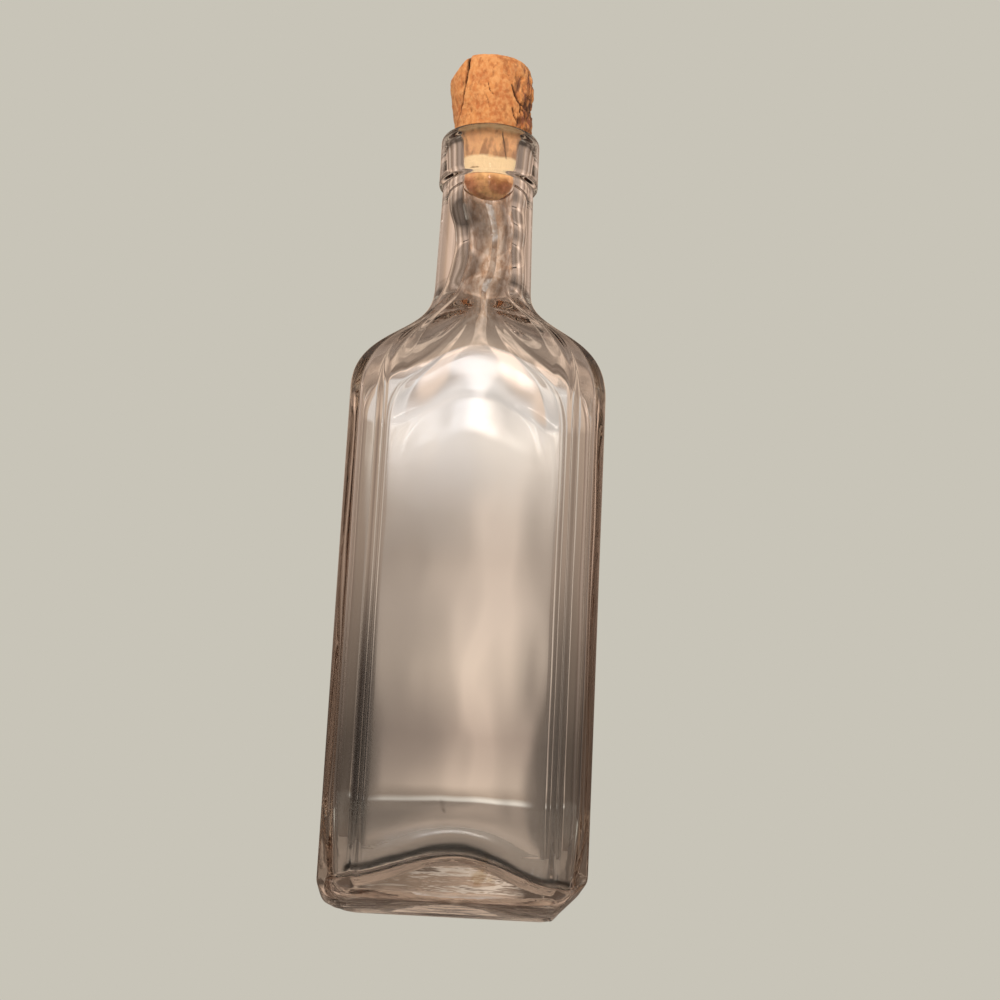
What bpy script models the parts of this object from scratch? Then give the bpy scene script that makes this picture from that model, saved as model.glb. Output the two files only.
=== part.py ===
# Apothecary bottle: one piece of thick clear glass, closed by a cork stopper.
# Metres, +Z up. The origin is the middle of the face that the bottle stands on.
# The front panel faces -Y, the back panel +Y, and the narrow sides face -X and +X.
import math

import bmesh
import bpy

# Glass body: a rectangle with cut corners, seen from above
BODY_WIDTH = 0.064
BODY_DEPTH = 0.040
BODY_HEIGHT = 0.127
CORNER_CUT = 0.0085
OUTER_EDGE_RADIUS = 0.0022
PANEL_ARCH_RISE = 0.0095
PANEL_ARCH_START_SHARE = 0.65
HEEL_RADIUS = 0.005
PUSH_UP_HEIGHT = 0.0015

# Shoulder, neck and lip, stacked on the body
SHOULDER_HEIGHT = 0.032
NECK_LENGTH = 0.0276
NECK_BASE_DIAMETER = 0.0248
NECK_TOP_DIAMETER = 0.0236
LIP_HEIGHT = 0.0142
LIP_DIAMETER = 0.0258
LIP_EDGE_RADIUS = 0.0016
LIP_STEP_HEIGHT = 0.0011

# Hollow inside the glass
WALL_THICKNESS = 0.0035
INNER_EDGE_RADIUS = 0.004
BASE_THICKNESS = 0.0032
FLOOR_RISE = 0.0076
FLOOR_END_RADIUS = 0.006
BOWL_HEIGHT = 0.0228
NECK_BASE_BORE = 0.0132
WAIST_BORE = 0.0116
WAIST_DEPTH = 0.0298
MOUTH_BORE = 0.0148
MOUTH_FLARE_WIDTH = 0.0013
MOUTH_FLARE_DEPTH = 0.0020

# Cork stopper
CORK_CLEARANCE = 0.0003
CORK_INSERTED_LENGTH = 0.0170
CORK_HEAD_HEIGHT = 0.0210
CORK_LIP_DIAMETER = 0.0208
CORK_BULGE_DIAMETER = 0.0222
CORK_TOP_DIAMETER = 0.0214
CORK_TOP_ROUNDING = 0.0022
CORK_END_ROUNDING = 0.0045

# How the ogee curve of the shoulder leaves the body and reaches the neck,
# as shares of the shoulder's height
SHOULDER_BODY_PULL_SHARE = 0.62
SHOULDER_NECK_PULL_SHARE = 0.45

# Underside: where the flat ring ends and the push-up begins, as shares of its outline
PUSH_UP_SHARES = (0.74, 0.48, 0.22)

# How much of the hollow's half depth its rounded bottom takes up
BOWL_DEPTH_SHARE = 0.90

# Places of the widest and the upper ring on the cork's head, as shares of its height
CORK_BULGE_SHARE = 0.42
CORK_SHOULDER_SHARE = 0.78

# Steps of the facets; one quarter of an outline has QUARTER_STEPS of them
SIDE_STEPS = 2
EDGE_STEPS = 2
CUT_STEPS = 2
PANEL_STEPS = 4
QUARTER_STEPS = SIDE_STEPS + 2 * EDGE_STEPS + CUT_STEPS + PANEL_STEPS
COLUMNS = 4 * QUARTER_STEPS
HEEL_STEPS = 4
WALL_STEPS = 4
SHOULDER_STEPS = 11
NECK_STEPS = 3
LIP_EDGE_STEPS = 3
BOWL_STEPS = 6
CORK_COLUMNS = 36
CORK_ROUNDING_STEPS = 4

# Heights and half sizes that follow from the sizes above
SHOULDER_TOP = BODY_HEIGHT + SHOULDER_HEIGHT
NECK_TOP = SHOULDER_TOP + NECK_LENGTH
GLASS_HEIGHT = NECK_TOP + LIP_HEIGHT
HALF_WIDTH = BODY_WIDTH / 2
HALF_DEPTH = BODY_DEPTH / 2
INNER_HALF_WIDTH = HALF_WIDTH - WALL_THICKNESS
INNER_HALF_DEPTH = HALF_DEPTH - WALL_THICKNESS
SMOOTH_ANGLE = math.radians(30)

GLASS_COLOUR = (0.86, 0.81, 0.74, 1.0)
CORK_COLOUR = (0.72, 0.42, 0.20, 1.0)


def inset_cut(inset):
    """Cut of a corner on an outline that lies inside the body's by an even inset."""
    return CORNER_CUT - inset * (2 - math.sqrt(2))


def rounded_outline(half_width, half_depth, cut, edge_radius):
    """Rectangle with cut, rounded corners, as (x, y) points anticlockwise from +X."""
    tangent = edge_radius * math.tan(math.pi / 8)
    side_end = half_depth - cut - tangent
    panel_end = half_width - cut - tangent
    quarter = [(half_width, side_end * i / SIDE_STEPS) for i in range(SIDE_STEPS)]
    for i in range(EDGE_STEPS + 1):
        turn = math.pi / 4 * i / EDGE_STEPS
        quarter.append((half_width - edge_radius + edge_radius * math.cos(turn),
                        side_end + edge_radius * math.sin(turn)))
    upper_edge = []
    for i in range(EDGE_STEPS + 1):
        turn = math.pi / 4 * (1 + i / EDGE_STEPS)
        upper_edge.append((panel_end + edge_radius * math.cos(turn),
                           half_depth - edge_radius + edge_radius * math.sin(turn)))
    start, end = quarter[-1], upper_edge[0]
    for i in range(1, CUT_STEPS):
        share = i / CUT_STEPS
        quarter.append((start[0] + (end[0] - start[0]) * share,
                        start[1] + (end[1] - start[1]) * share))
    quarter += upper_edge
    quarter += [(panel_end * (1 - i / PANEL_STEPS), half_depth)
                for i in range(1, PANEL_STEPS)]
    half = quarter + [(0, half_depth)] + [(-x, y) for x, y in reversed(quarter[1:])]
    return half + [(-x, -y) for x, y in half]


def circle(radius, count=COLUMNS):
    """Points of a circle, anticlockwise from +X."""
    turns = [math.tau * i / count for i in range(count)]
    return [(radius * math.cos(turn), radius * math.sin(turn)) for turn in turns]


def scaled(outline, share):
    """An outline drawn in towards its middle."""
    return [(x * share, y * share) for x, y in outline]


def ring(outline, height):
    """Places of a ring whose height is one number, or one number for each point."""
    heights = height if isinstance(height, list) else [height] * len(outline)
    return [(x, y, z) for (x, y), z in zip(outline, heights)]


def arch_rise(x, y):
    """Rise of the panel's gable at a point of an outline; the narrow sides have none."""
    sine = abs(y) / math.hypot(x, y)
    return PANEL_ARCH_RISE * max(0, (sine - PANEL_ARCH_START_SHARE) / (1 - PANEL_ARCH_START_SHARE))


def shoulder_rings(body_outline, body_heights, neck_outline, neck_height):
    """Rings of the ogee: each column follows one cubic curve from body to neck."""
    rings = []
    for step in range(1, SHOULDER_STEPS + 1):
        u = step / SHOULDER_STEPS
        weights = ((1 - u) ** 3, 3 * u * (1 - u) ** 2, 3 * u * u * (1 - u), u ** 3)
        neck_weight = weights[2] + weights[3]
        places = []
        for (bx, by), low, (nx, ny) in zip(body_outline, body_heights, neck_outline):
            rise = neck_height - low
            height = (low * weights[0]
                      + (low + rise * SHOULDER_BODY_PULL_SHARE) * weights[1]
                      + (neck_height - rise * SHOULDER_NECK_PULL_SHARE) * weights[2]
                      + neck_height * weights[3])
            places.append((bx + (nx - bx) * neck_weight,
                           by + (ny - by) * neck_weight, height))
        rings.append(places)
    return rings


def underside_rings():
    """Push-up, flat ring and rounded heel, from the middle outwards."""
    flat = rounded_outline(HALF_WIDTH - HEEL_RADIUS, HALF_DEPTH - HEEL_RADIUS,
                           inset_cut(HEEL_RADIUS), OUTER_EDGE_RADIUS)
    foot_share = PUSH_UP_SHARES[0]
    rings = [ring(scaled(flat, share), PUSH_UP_HEIGHT * (1 - (share / foot_share) ** 2))
             for share in reversed(PUSH_UP_SHARES)]
    for step in range(HEEL_STEPS + 1):
        turn = math.pi / 2 * step / HEEL_STEPS
        inset = HEEL_RADIUS * (1 - math.sin(turn))
        outline = rounded_outline(HALF_WIDTH - inset, HALF_DEPTH - inset,
                                  inset_cut(inset), OUTER_EDGE_RADIUS)
        rings.append(ring(outline, HEEL_RADIUS * (1 - math.cos(turn))))
    return rings


def outer_rings():
    """Walls, arched panels, shoulder, neck and lip, upwards to the lip's top edge."""
    body = rounded_outline(HALF_WIDTH, HALF_DEPTH, CORNER_CUT, OUTER_EDGE_RADIUS)
    tops = [BODY_HEIGHT + arch_rise(x, y) for x, y in body]
    rings = []
    for step in range(1, WALL_STEPS + 1):
        rings.append(ring(body, [HEEL_RADIUS + (top - HEEL_RADIUS) * step / WALL_STEPS
                                 for top in tops]))
    rings += shoulder_rings(body, tops, circle(NECK_BASE_DIAMETER / 2), SHOULDER_TOP)
    for step in range(1, NECK_STEPS + 1):
        share = step / NECK_STEPS
        diameter = NECK_BASE_DIAMETER + (NECK_TOP_DIAMETER - NECK_BASE_DIAMETER) * share
        rings.append(ring(circle(diameter / 2), SHOULDER_TOP + NECK_LENGTH * share))
    rings.append(ring(circle(LIP_DIAMETER / 2), NECK_TOP + LIP_STEP_HEIGHT))
    for step in range(LIP_EDGE_STEPS + 1):
        turn = math.pi / 2 * step / LIP_EDGE_STEPS
        radius = LIP_DIAMETER / 2 - LIP_EDGE_RADIUS * (1 - math.cos(turn))
        rings.append(ring(circle(radius),
                          GLASS_HEIGHT - LIP_EDGE_RADIUS * (1 - math.sin(turn))))
    return rings


def bore_radius(depth):
    """Radius of the bore at a depth under the lip's top, where it narrows evenly to its waist."""
    share = (depth - MOUTH_FLARE_DEPTH) / (WAIST_DEPTH - MOUTH_FLARE_DEPTH)
    return (MOUTH_BORE + (WAIST_BORE - MOUTH_BORE) * share) / 2


def bore_rings():
    """Flared mouth, bore that narrows to its waist, and its widening foot, downwards."""
    return [
        ring(circle(MOUTH_BORE / 2 + MOUTH_FLARE_WIDTH), GLASS_HEIGHT),
        ring(circle(MOUTH_BORE / 2), GLASS_HEIGHT - MOUTH_FLARE_DEPTH),
        ring(circle(WAIST_BORE / 2), GLASS_HEIGHT - WAIST_DEPTH),
        ring(circle(NECK_BASE_BORE / 2), SHOULDER_TOP),
    ]


def hollow_rings():
    """Inside of the shoulder and the body, downwards to the raised floor."""
    outline = rounded_outline(INNER_HALF_WIDTH, INNER_HALF_DEPTH,
                              inset_cut(WALL_THICKNESS), INNER_EDGE_RADIUS)
    tops = [BODY_HEIGHT - WALL_THICKNESS / 2 + arch_rise(x, y) for x, y in outline]
    rising = shoulder_rings(outline, tops, circle(NECK_BASE_BORE / 2), SHOULDER_TOP)
    rings = rising[-2::-1] + [ring(outline, tops)]
    bowl_top = BASE_THICKNESS + BOWL_HEIGHT
    for step in range(1, WALL_STEPS + 1):
        share = step / WALL_STEPS
        rings.append(ring(outline, [top + (bowl_top - top) * share for top in tops]))
    bowl_depth = INNER_HALF_DEPTH * BOWL_DEPTH_SHARE
    for step in range(1, BOWL_STEPS + 1):
        turn = math.pi / 2 * step / BOWL_STEPS
        drawn_in = 1 - math.cos(turn)
        width_share = 1 - FLOOR_END_RADIUS * drawn_in / INNER_HALF_WIDTH
        depth_share = 1 - bowl_depth * drawn_in / INNER_HALF_DEPTH
        places = []
        for x, y in outline:
            floor = BASE_THICKNESS + FLOOR_RISE * (1 + math.cos(math.pi * x / INNER_HALF_WIDTH)) / 2
            places.append((x * width_share, y * depth_share,
                           bowl_top + (floor - bowl_top) * math.sin(turn)))
        rings.append(places)
    return rings


def cork_rings():
    """Tapered cork from its domed end upwards, around the joint's axis, from the lip's top."""
    end_radius = bore_radius(CORK_INSERTED_LENGTH - CORK_END_ROUNDING) - CORK_CLEARANCE
    plug_radius = MOUTH_BORE / 2 - CORK_CLEARANCE
    lip_radius = CORK_LIP_DIAMETER / 2
    top_radius = CORK_TOP_DIAMETER / 2
    head_height = CORK_HEAD_HEIGHT - CORK_CLEARANCE
    profile = []
    for step in range(CORK_ROUNDING_STEPS + 1):
        turn = math.pi / 2 * step / CORK_ROUNDING_STEPS
        profile.append((end_radius - CORK_END_ROUNDING * (1 - math.sin(turn)),
                        CORK_END_ROUNDING * (1 - math.cos(turn)) - CORK_INSERTED_LENGTH))
    profile += [
        (plug_radius, -MOUTH_FLARE_DEPTH),
        (plug_radius + MOUTH_FLARE_WIDTH, CORK_CLEARANCE),
        (lip_radius, CORK_CLEARANCE),
        (CORK_BULGE_DIAMETER / 2, CORK_CLEARANCE + head_height * CORK_BULGE_SHARE),
        ((CORK_BULGE_DIAMETER + CORK_TOP_DIAMETER) / 4,
         CORK_CLEARANCE + head_height * CORK_SHOULDER_SHARE),
    ]
    for step in range(CORK_ROUNDING_STEPS + 1):
        turn = math.pi / 2 * step / CORK_ROUNDING_STEPS
        profile.append((top_radius - CORK_TOP_ROUNDING * (1 - math.cos(turn)),
                        CORK_HEAD_HEIGHT - CORK_TOP_ROUNDING * (1 - math.sin(turn))))
    return [ring(circle(radius, CORK_COLUMNS), height) for radius, height in profile]


def lofted_mesh(name, rings, first_centre, last_centre):
    """Closed mesh through a stack of rings, with a fan at each end."""
    loft = bmesh.new()
    rows = [[loft.verts.new(place) for place in places] for places in rings]
    first = loft.verts.new(first_centre)
    last = loft.verts.new(last_centre)
    count = len(rows[0])
    for low, high in zip(rows, rows[1:]):
        for i in range(count):
            j = (i + 1) % count
            loft.faces.new((low[i], low[j], high[j], high[i]))
    for i in range(count):
        j = (i + 1) % count
        loft.faces.new((first, rows[0][j], rows[0][i]))
        loft.faces.new((rows[-1][i], rows[-1][j], last))
    mesh = bpy.data.meshes.new(name)
    loft.to_mesh(mesh)
    loft.free()
    mesh.shade_smooth()
    mesh.set_sharp_from_angle(angle=SMOOTH_ANGLE)
    return mesh


def place_object(name, mesh, material, location):
    """Link a mesh to the scene as one named sub-part."""
    mesh.materials.append(material)
    piece = bpy.data.objects.new(name, mesh)
    piece.location = location
    bpy.context.scene.collection.objects.link(piece)
    return piece


def principled(name, colour, roughness, transmission=0.0):
    """Principled material; nothing on this object is metal."""
    material = bpy.data.materials.new(name)
    material.use_nodes = True
    shader = material.node_tree.nodes["Principled BSDF"]
    shader.inputs["Base Color"].default_value = colour
    shader.inputs["Roughness"].default_value = roughness
    shader.inputs["Metallic"].default_value = 0.0
    shader.inputs["Transmission Weight"].default_value = transmission
    return material


def make_glass_bottle():
    """Glass in one piece: outside up to the lip, then inside down to the floor."""
    rings = underside_rings() + outer_rings() + bore_rings() + hollow_rings()
    mesh = lofted_mesh("glass_bottle", rings, (0, 0, PUSH_UP_HEIGHT),
                       (0, 0, BASE_THICKNESS + FLOOR_RISE))
    return place_object("glass_bottle", mesh,
                        principled("clear_glass", GLASS_COLOUR, 0.04, 1.0), (0, 0, 0))


def make_cork_stopper():
    """Cork pressed into the neck, with its origin on the axis that it is pulled along."""
    mesh = lofted_mesh("cork_stopper", cork_rings(), (0, 0, -CORK_INSERTED_LENGTH),
                       (0, 0, CORK_HEAD_HEIGHT))
    return place_object("cork_stopper", mesh,
                        principled("natural_cork", CORK_COLOUR, 0.85), (0, 0, GLASS_HEIGHT))


def main():
    for leftover in list(bpy.data.objects):
        bpy.data.objects.remove(leftover)
    make_glass_bottle()
    make_cork_stopper()


main()
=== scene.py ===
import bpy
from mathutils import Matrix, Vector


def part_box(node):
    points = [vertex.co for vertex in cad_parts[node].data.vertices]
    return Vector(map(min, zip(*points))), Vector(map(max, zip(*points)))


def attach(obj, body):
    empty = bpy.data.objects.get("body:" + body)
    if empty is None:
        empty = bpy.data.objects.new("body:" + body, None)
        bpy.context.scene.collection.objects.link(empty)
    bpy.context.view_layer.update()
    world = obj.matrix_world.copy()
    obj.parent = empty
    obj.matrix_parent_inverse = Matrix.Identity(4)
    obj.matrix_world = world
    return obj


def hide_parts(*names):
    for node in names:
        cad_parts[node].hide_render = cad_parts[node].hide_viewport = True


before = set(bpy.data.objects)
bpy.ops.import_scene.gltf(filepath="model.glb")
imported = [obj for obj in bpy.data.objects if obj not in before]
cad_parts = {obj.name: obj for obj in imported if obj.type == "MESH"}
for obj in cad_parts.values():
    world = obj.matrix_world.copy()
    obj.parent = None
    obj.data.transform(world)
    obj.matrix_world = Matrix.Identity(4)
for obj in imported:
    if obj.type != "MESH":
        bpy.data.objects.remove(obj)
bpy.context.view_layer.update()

import math

import bpy
import numpy as np
from mathutils import Matrix, Vector

print("scene: frame loaded")


# Noise and easing on whole arrays

# One fixed value from 0 to 1 for each whole-number cell: the fraction of a large sine of a weighted sum.
def hashedValues(cells, seed):
    mixed = cells[..., 0] * 127.1 + cells[..., 1] * 311.7 + cells[..., 2] * 74.7 + seed * 53.3
    return np.modf(np.abs(np.sin(mixed) * 43758.5453))[0]


# Value noise from -1 to 1: the values at the eight corners of a cell, blended by eased distances.
def smoothNoise(points, size, seed):
    scaled = points / size
    low = np.floor(scaled)
    part = scaled - low
    part = part * part * (3 - 2 * part)
    total = 0
    for corner in range(8):
        step = np.array([corner & 1, corner >> 1 & 1, corner >> 2 & 1])
        weight = np.prod(np.where(step == 1, part, 1 - part), axis=-1)
        total = total + weight * hashedValues(low + step, seed)
    return total * 2 - 1


# Sum of noises, each at half the size and half the height of the one before.
def roughNoise(points, size, seed, layers=3):
    return sum(smoothNoise(points, size / 2 ** n, seed + n) / 2 ** n for n in range(layers))


# Round pits, 0 outside and 1 in the middle: some cells hold a pit of their own size, and each point takes the
# deepest one.
def pits(points, size, seed, filled):
    scaled = points / size
    cell = np.floor(scaled)
    depth = np.zeros(points.shape[:-1])
    for corner in range(27):
        near = cell + np.array([corner % 3 - 1, corner // 3 % 3 - 1, corner // 9 - 1])
        place = near + np.stack([hashedValues(near, seed + axis) for axis in range(3)], axis=-1)
        reach = 0.20 + 0.35 * hashedValues(near, seed + 5)
        distance = np.linalg.norm(scaled - place, axis=-1)
        inside = np.clip(1 - distance / reach, 0, 1) * (hashedValues(near, seed + 7) < filled)
        depth = np.maximum(depth, inside)
    return depth


# 0 below low, 1 above high, and a smooth step between them.
def eased(value, low, high):
    share = np.clip((value - low) / (high - low), 0, 1)
    return share * share * (3 - 2 * share)


# Meshes

# Closed mesh from an array of rings (ring, column, xyz), with one middle point at each end.
def surfaceObject(name, rows, firstCentre, lastCentre):
    ringCount, columnCount = rows.shape[:2]
    points = np.concatenate([rows.reshape(-1, 3), [firstCentre], [lastCentre]])
    index = np.arange(ringCount * columnCount).reshape(ringCount, columnCount)
    after = np.roll(index, -1, axis=1)
    quads = np.stack([index[:-1], after[:-1], after[1:], index[1:]], axis=-1).reshape(-1, 4)
    firstPoint, lastPoint = len(points) - 2, len(points) - 1
    firstFan = np.stack([np.full(columnCount, firstPoint), after[0], index[0]], axis=-1)
    lastFan = np.stack([index[-1], after[-1], np.full(columnCount, lastPoint)], axis=-1)
    mesh = bpy.data.meshes.new(name)
    mesh.vertices.add(len(points))
    mesh.vertices.foreach_set("co", points.astype(np.float32).ravel())
    corners = np.concatenate([quads.ravel(), firstFan.ravel(), lastFan.ravel()])
    sizes = np.concatenate([np.full(len(quads), 4), np.full(2 * columnCount, 3)])
    mesh.loops.add(len(corners))
    mesh.loops.foreach_set("vertex_index", corners.astype(np.int32))
    mesh.polygons.add(len(sizes))
    mesh.polygons.foreach_set("loop_start", (np.cumsum(sizes) - sizes).astype(np.int32))
    mesh.update(calc_edges=True)
    mesh.validate()
    mesh.shade_smooth()
    piece = bpy.data.objects.new(name, mesh)
    bpy.context.scene.collection.objects.link(piece)
    return piece


# One value for each point of the surface, kept with the mesh; both middle points take the value beside them.
def addPointValues(piece, name, values):
    flat = np.concatenate([values.ravel(), [values[0, 0], values[-1, 0]]]).astype(np.float32)
    piece.data.attributes.new(name, "FLOAT", "POINT").data.foreach_set("value", flat)


# Nodes

# A shader node, or by its full name a node of a group. A key that is one of its inputs sets or links that
# input, any other key sets a property.
def addNode(tree, kind, **settings):
    node = tree.nodes.new(kind if kind.startswith("Node") else "ShaderNode" + kind)
    for key, value in settings.items():
        if hasattr(node, key):
            setattr(node, key, value)
    for key, value in settings.items():
        if not hasattr(node, key):
            numbered = key[0] == "i" and key[1:].isdigit()
            socket = node.inputs[int(key[1:]) if numbered else key.replace("_", " ")]
            if isinstance(value, bpy.types.NodeSocket):
                tree.links.new(value, socket)
            else:
                socket.default_value = value
    return node


# Result of one math step on the given values.
def calculate(tree, operation, *values):
    given = {f"i{place}": value for place, value in enumerate(values)}
    return addNode(tree, "Math", operation=operation, **given).outputs[0]


# Two values multiplied.
def product(tree, first, second):
    return calculate(tree, "MULTIPLY", first, second)


# Smooth step of a value: 0 at start and before it, 1 at end and past it. The start may be the higher one.
def stepped(tree, value, start, end):
    return addNode(tree, "MapRange", interpolation_type="SMOOTHSTEP", Value=value, From_Min=start,
                   From_Max=end).outputs[0]


# 1 between the two middle limits, 0 outside the two outer ones.
def band(tree, value, limits):
    return product(tree, stepped(tree, value, *limits[:2]), stepped(tree, value, limits[3], limits[2]))


# A value moved in a straight line from one span to another, and held at its ends.
def moved(tree, value, start, end, low=0.0, high=1.0):
    return addNode(tree, "MapRange", Value=value, From_Min=start, From_Max=end, To_Min=low,
                   To_Max=high).outputs[0]


# Length of a vector.
def lengthOf(tree, vector):
    return addNode(tree, "VectorMath", operation="LENGTH", i0=vector).outputs["Value"]


# A colour times a value, which may be above 1.
def scaledColour(tree, colour, value):
    return addNode(tree, "VectorMath", operation="SCALE", i0=colour, Scale=value).outputs["Vector"]


# Two colours multiplied.
def colourProduct(tree, first, second):
    return addNode(tree, "VectorMath", operation="MULTIPLY", i0=first, i1=second).outputs["Vector"]


# Two colours mixed by a mask.
def mixColours(tree, mask, first, second):
    return addNode(tree, "Mix", data_type="RGBA", i0=mask, i6=first, i7=second).outputs[2]


# Colour ramp with its stops given as (place, colour).
def addRamp(tree, factor, stops):
    node = addNode(tree, "ValToRGB", Fac=factor)
    elements = node.color_ramp.elements
    while len(elements) < len(stops):
        elements.new(1.0)
    for element, (place, colour) in zip(elements, stops):
        element.position = place
        element.color = (*colour, 1)
    return node.outputs["Color"]


# Grey ramp of values over a factor.
def addLevels(tree, factor, stops):
    return addRamp(tree, factor, [(place, (value, value, value)) for place, value in stops])


# A material with an empty tree.
def newMaterial(name):
    material = bpy.data.materials.new(name)
    material.use_nodes = True
    material.node_tree.nodes.clear()
    return material, material.node_tree


# Node group for uneven surfaces: a mask from 0 to 1, noise of a given scale between two levels.
def makeMottleGroup():
    group = bpy.data.node_groups.new("mottle", "ShaderNodeTree")
    group.interface.new_socket("Vector", in_out="INPUT", socket_type="NodeSocketVector")
    for name in ("Scale", "Detail", "Low", "High"):
        group.interface.new_socket(name, in_out="INPUT", socket_type="NodeSocketFloat")
    group.interface.new_socket("Mask", in_out="OUTPUT", socket_type="NodeSocketFloat")
    given = addNode(group, "NodeGroupInput").outputs
    noise = addNode(group, "TexNoise", Vector=given["Vector"], Scale=given["Scale"], Detail=given["Detail"])
    addNode(group, "NodeGroupOutput", Mask=stepped(group, noise.outputs["Fac"], given["Low"], given["High"]))
    return group


mottleGroup = makeMottleGroup()


# Object coordinates, stretched by a scale for each axis.
def stretchedPlace(tree, stretch):
    place = addNode(tree, "TexCoord").outputs["Object"]
    return addNode(tree, "Mapping", Vector=place, Scale=stretch).outputs["Vector"]


# Mask of the mottle group over the object.
def mottle(tree, stretch, scale, low, high, detail):
    return addNode(tree, "Group", node_tree=mottleGroup, Vector=stretchedPlace(tree, stretch),
                   Scale=scale, Low=low, High=high, Detail=detail).outputs["Mask"]


# Object coordinates, one output for each axis.
def placeParts(tree):
    place = addNode(tree, "TexCoord").outputs["Object"]
    return addNode(tree, "SeparateXYZ", Vector=place).outputs


# A value that is kept with the points of the mesh.
def pointValue(tree, name):
    return addNode(tree, "Attribute", attribute_name=name).outputs["Fac"]


# 1 for rays that glass has bent or mirrored.
def bentRay(tree, path):
    return calculate(tree, "MAXIMUM", path["Is Glossy Ray"], path["Is Transmission Ray"])


# Glass bottle

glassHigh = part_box("glass_bottle")[1]
# Lengths in metres, heights from the foot up.
glass = {
    "halfWidth": glassHigh.x,
    "halfDepth": glassHigh.y,
    "height": glassHigh.z,
    "bodyHeight": 0.127,
    "cornerCut": 0.0085,
    "edgeRadius": 0.0022,
    "archRise": 0.0095,
    "archStartShare": 0.65,
    "heelRadius": 0.005,
    "panelHeelShare": 0.42,
    "pushUp": 0.0015,
    "shoulderHeight": 0.032,
    "neckLength": 0.0276,
    "neckBaseRadius": 0.0124,
    "neckTopRadius": 0.0118,
    "lipRadius": 0.0129,
    "lipEdge": 0.0016,
    "lipStep": 0.0011,
    "wall": 0.0035,
    "innerCutExtra": -0.0014,
    "innerEdgeRadius": 0.0030,
    "baseThickness": 0.0045,
    "floorRise": 0.0063,
    "floorMiddle": 0.001,
    "floorLeft": 0.0290,
    "floorRight": 0.0245,
    "bowlTop": 0.0276,
    "bowlInset": 0.0020,
    "bowlCurve": 1.7,
    "bowlArch": 1.8,
    "heelTurn": 0.0016,
    "neckBaseBore": 0.0066,
    "waistBore": 0.0058,
    "waistHeight": 0.171,
    "mouthBore": 0.0074,
    "boreShift": 0.0009,
    "mouthFlare": 0.0013,
    "mouthDepth": 0.0020,
    "bodyPullShare": 0.62,
    "neckPullShare": 0.45,
}
glassSteps = {"side": 15, "edge": 8, "cut": 9, "panel": 36}


# Rectangle with cut corners, drawn in by inset, each edge an arc of 45 degrees; x and y of every column.
def bodyOutline(inset, edgeRadius, cutExtra=0.0):
    halfWidth, halfDepth = glass["halfWidth"] - inset, glass["halfDepth"] - inset
    cut = glass["cornerCut"] - inset * (2 - math.sqrt(2)) + cutExtra
    tangent = edgeRadius * math.tan(math.pi / 8)
    sideEnd, panelEnd = halfDepth - cut - tangent, halfWidth - cut - tangent
    turns = np.linspace(0, math.pi / 4, glassSteps["edge"] + 1)
    side = np.linspace([halfWidth, 0], [halfWidth, sideEnd], glassSteps["side"], endpoint=False)
    lower = np.stack([halfWidth - edgeRadius + edgeRadius * np.cos(turns),
                      sideEnd + edgeRadius * np.sin(turns)], axis=-1)
    upper = np.stack([panelEnd + edgeRadius * np.cos(turns + math.pi / 4),
                      halfDepth - edgeRadius + edgeRadius * np.sin(turns + math.pi / 4)], axis=-1)
    cutFace = np.linspace(lower[-1], upper[0], glassSteps["cut"] + 1)[1:-1]
    panel = np.linspace(upper[-1], [0, halfDepth], glassSteps["panel"] + 1)[1:-1]
    quarter = np.concatenate([side, lower, cutFace, upper, panel])
    half = np.concatenate([quarter, [[0, halfDepth]], quarter[:0:-1] * [-1, 1]])
    return np.concatenate([half, -half])


columnCount = len(bodyOutline(0, glass["edgeRadius"]))
shoulderTop = glass["bodyHeight"] + glass["shoulderHeight"]


# Circle with as many columns as the body's outline.
def roundOutline(radius):
    turns = np.linspace(0, math.tau, columnCount, endpoint=False)
    return radius * np.stack([np.cos(turns), np.sin(turns)], axis=-1)


# One ring of points: an outline with one height, or with a height for each column.
def ringAt(outline, heights):
    return np.concatenate([outline, np.broadcast_to(heights, len(outline))[:, None]], axis=1)


# Rings round the axis, one for each pair of radius and height.
def roundRings(radii, heights):
    pairs = zip(*np.broadcast_arrays(radii, heights))
    return [ringAt(roundOutline(radius), height) for radius, height in pairs]


# Height at which each column leaves its wall: low, and a gable where the sine of its turn nears 1.
def panelTops(outline, low):
    sine = np.abs(outline[:, 1]) / np.hypot(outline[:, 0], outline[:, 1])
    start = glass["archStartShare"]
    return low + glass["archRise"] * np.clip((sine - start) / (1 - start), 0, 1)


# Rings of the ogee: every column follows one cubic Bezier curve from its wall to the neck's circle.
def shoulderRings(body, tops, neck, neckHeight, count):
    u = np.linspace(0, 1, count + 1)[1:, None]
    weights = ((1 - u) ** 3, 3 * u * (1 - u) ** 2, 3 * u * u * (1 - u), u ** 3)
    rise = neckHeight - tops
    heights = (tops * weights[0] + (tops + rise * glass["bodyPullShare"]) * weights[1]
               + (neckHeight - rise * glass["neckPullShare"]) * weights[2] + neckHeight * weights[3])
    neckWeight = (weights[2] + weights[3])[..., None]
    flat = body * (1 - neckWeight) + neck * neckWeight
    return list(np.concatenate([flat, heights[..., None]], axis=-1))


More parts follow.
